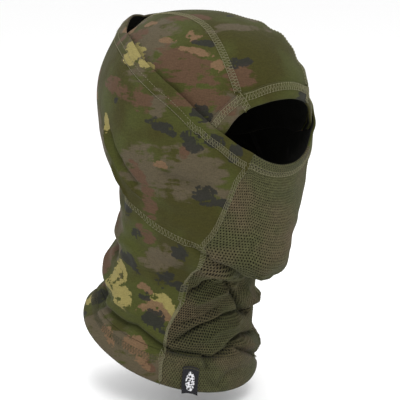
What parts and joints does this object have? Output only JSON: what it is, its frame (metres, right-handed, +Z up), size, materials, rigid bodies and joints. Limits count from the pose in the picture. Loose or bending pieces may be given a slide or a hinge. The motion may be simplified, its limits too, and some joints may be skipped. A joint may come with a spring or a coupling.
{
  "type": "balaclava",
  "caption": "Hinged stretch balaclava as worn: fitted crown with brow band, outer hood, perforated face mesh over the nose and a long neck with folded hem.",
  "frame": {"origin": "middle of the head on the mirror plane, at nose-bridge height, where the head form's widest part is 45 mm higher", "axes": "+Z up along the head, -Y towards the face, +X towards the wearer's left"},
  "size_m": [0.1612, 0.2247, 0.3131],
  "materials": {
    "camo_knit": "soft knit, woodland blotches",
    "face_mesh": "perforated knit",
    "seam_thread": "matt thread",
    "tag_cloth": "woven tape",
    "tag_mark": "pale print"
  },
  "bodies": {
    "balaclava_body": {"crown_centre_panel": "camo_knit", "crown_side_panel_right": "camo_knit", "crown_side_panel_left": "camo_knit", "brow_band_centre": "camo_knit", "brow_band_right": "camo_knit", "brow_band_left": "camo_knit", "hood_edge_hem_right": "camo_knit", "hood_edge_hem_left": "camo_knit", "hood_side_panel_right": "camo_knit", "hood_side_panel_left": "camo_knit", "neck_panel_right": "camo_knit", "neck_panel_left": "camo_knit", "bottom_hem_right": "camo_knit", "bottom_hem_left": "camo_knit", "face_mesh_panel": "face_mesh", "bottom_hem_front": "face_mesh", "crown_seam_right": "seam_thread", "crown_seam_left": "seam_thread", "brow_seam_right": "seam_thread", "brow_seam_left": "seam_thread", "brow_stitch_right": "seam_thread", "brow_stitch_left": "seam_thread", "brow_stitch_centre": "seam_thread", "hood_back_seam": "seam_thread", "hood_hem_stitch_right": "seam_thread", "hood_hem_stitch_left": "seam_thread", "mesh_seam_right": "seam_thread", "mesh_seam_left": "seam_thread", "hem_seam_right": "seam_thread", "hem_seam_left": "seam_thread", "neck_back_seam": "seam_thread", "neck_seam_right": "seam_thread", "neck_seam_left": "seam_thread", "bottom_hem_stitch_front": "seam_thread", "bottom_hem_stitch_right": "seam_thread", "bottom_hem_stitch_left": "seam_thread", "label_stitch": "seam_thread", "label_tag": "tag_cloth", "label_mark": "tag_mark"},
    "mask_edge": {"mask_top_binding": "face_mesh"}
  },
  "joints": [
    {"name": "mask_pull_down", "type": "slide", "parent": "balaclava_body", "child": "mask_edge", "axis": [0, 0, -1], "range_m": [0, 0.042], "deforming": ["face_mesh_panel", "hood_edge_hem_right", "hood_edge_hem_left", "hood_hem_stitch_right", "hood_hem_stitch_left", "mesh_seam_right", "mesh_seam_left"]}
  ]
}
